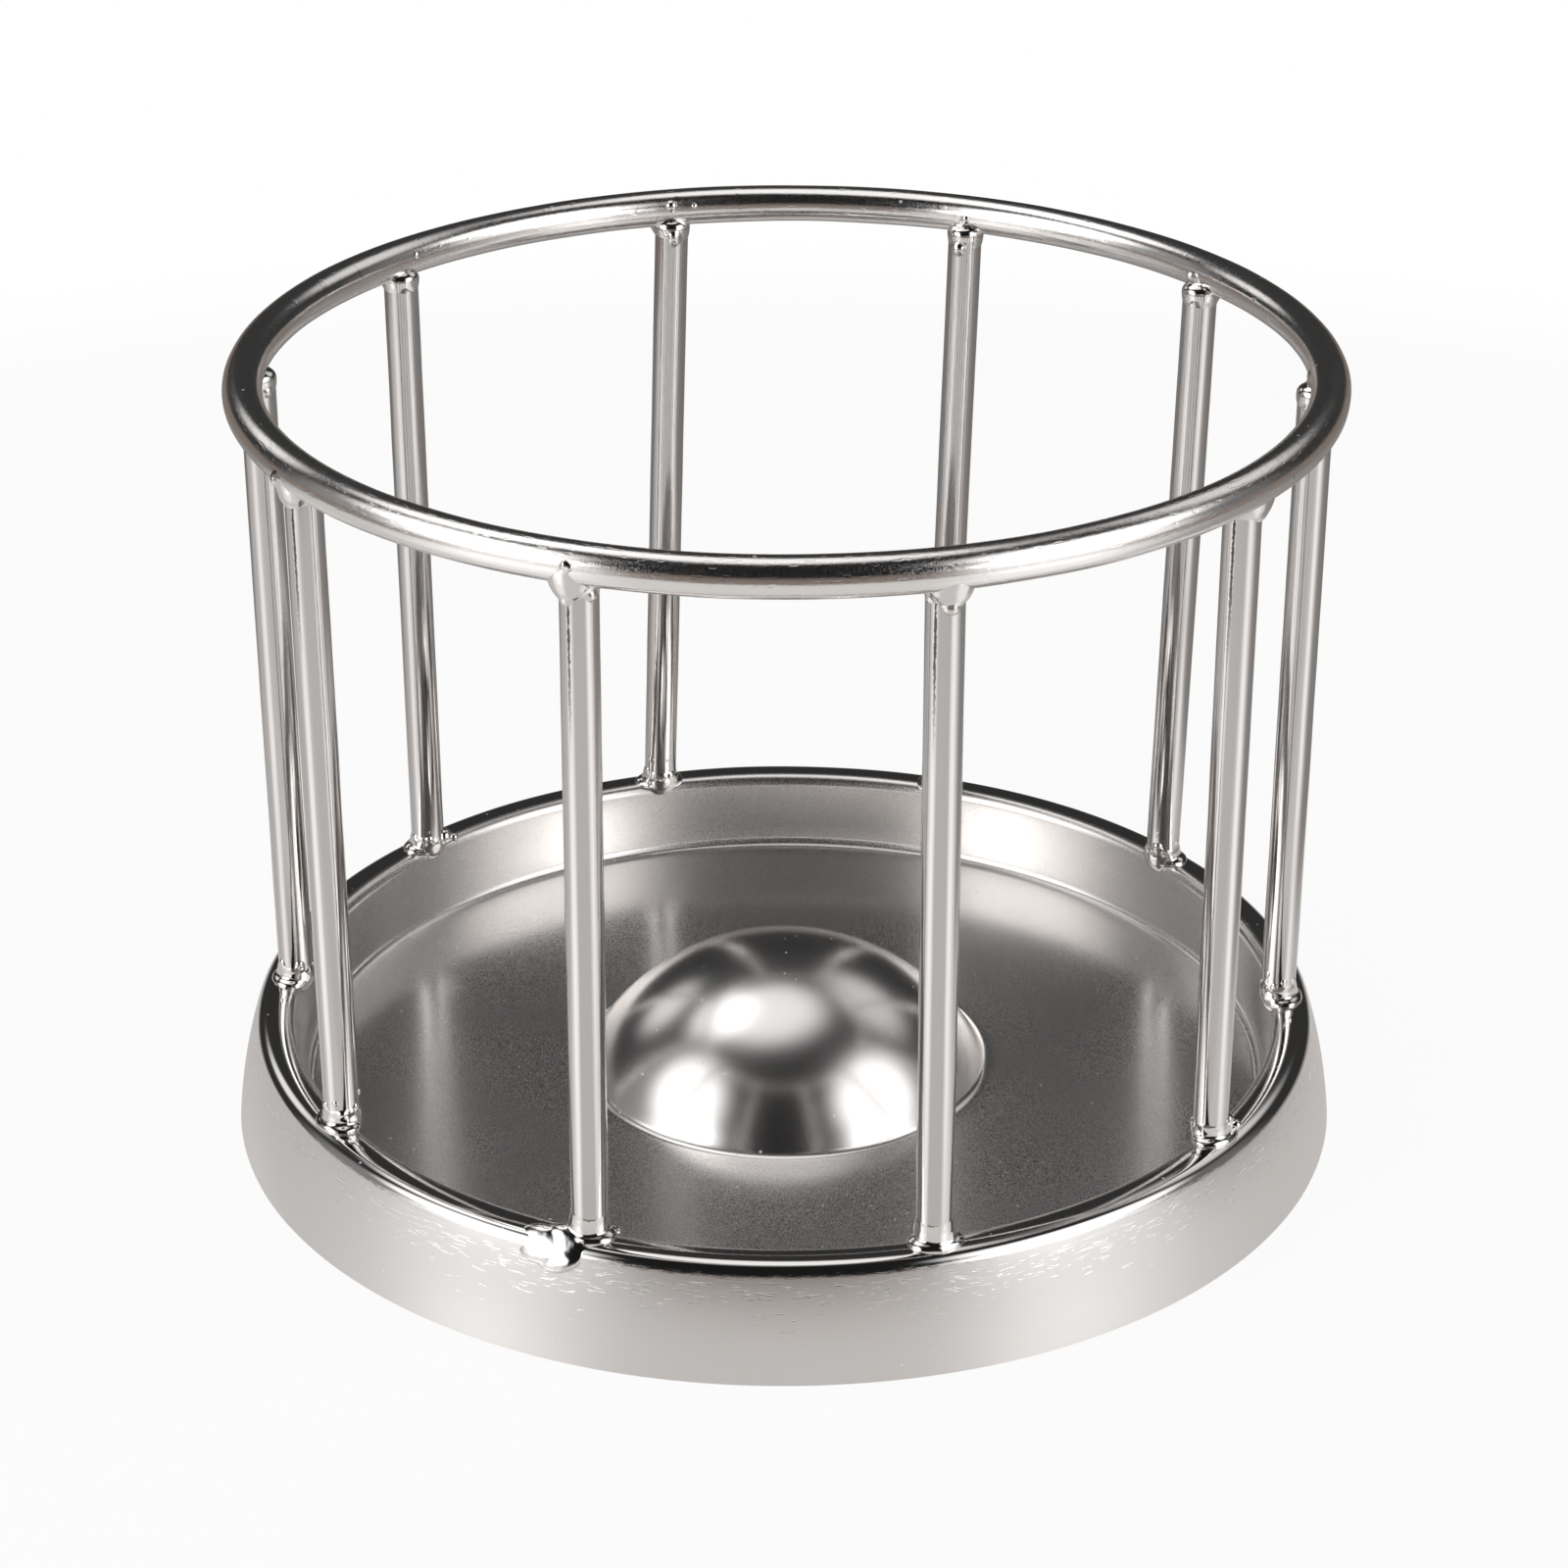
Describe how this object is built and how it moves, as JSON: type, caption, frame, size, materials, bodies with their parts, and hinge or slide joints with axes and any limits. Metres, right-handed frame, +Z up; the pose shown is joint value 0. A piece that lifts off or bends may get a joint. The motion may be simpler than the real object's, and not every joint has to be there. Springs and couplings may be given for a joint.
{
  "type": "reptile feeding dish",
  "caption": "Round stainless feeding dish with a domed floor, flared skirt and polished rim, under an open cage of welded wire posts and a top ring.",
  "frame": {"origin": "on the table under the middle of the dish", "axes": "+Z up through the middle of the dish, -Y to the front as pictured, +X to the right"},
  "size_m": [0.1176, 0.1176, 0.0844],
  "materials": {
    "satin_steel": "satin pressed sheet with a polished rim",
    "polished_wire": "bright drawn wire",
    "weld_steel": "bright melted weld bead"
  },
  "bodies": {
    "root": {"dish": "satin_steel", "top_ring": "polished_wire", "post_01": "polished_wire", "top_weld_01": "weld_steel", "foot_weld_01": "weld_steel", "post_02": "polished_wire", "top_weld_02": "weld_steel", "foot_weld_02": "weld_steel", "post_03": "polished_wire", "top_weld_03": "weld_steel", "foot_weld_03": "weld_steel", "post_04": "polished_wire", "top_weld_04": "weld_steel", "foot_weld_04": "weld_steel", "post_05": "polished_wire", "top_weld_05": "weld_steel", "foot_weld_05": "weld_steel", "post_06": "polished_wire", "top_weld_06": "weld_steel", "foot_weld_06": "weld_steel", "post_07": "polished_wire", "top_weld_07": "weld_steel", "foot_weld_07": "weld_steel", "post_08": "polished_wire", "top_weld_08": "weld_steel", "foot_weld_08": "weld_steel", "post_09": "polished_wire", "top_weld_09": "weld_steel", "foot_weld_09": "weld_steel", "post_10": "polished_wire", "top_weld_10": "weld_steel", "foot_weld_10": "weld_steel"}
  },
  "joints": []
}
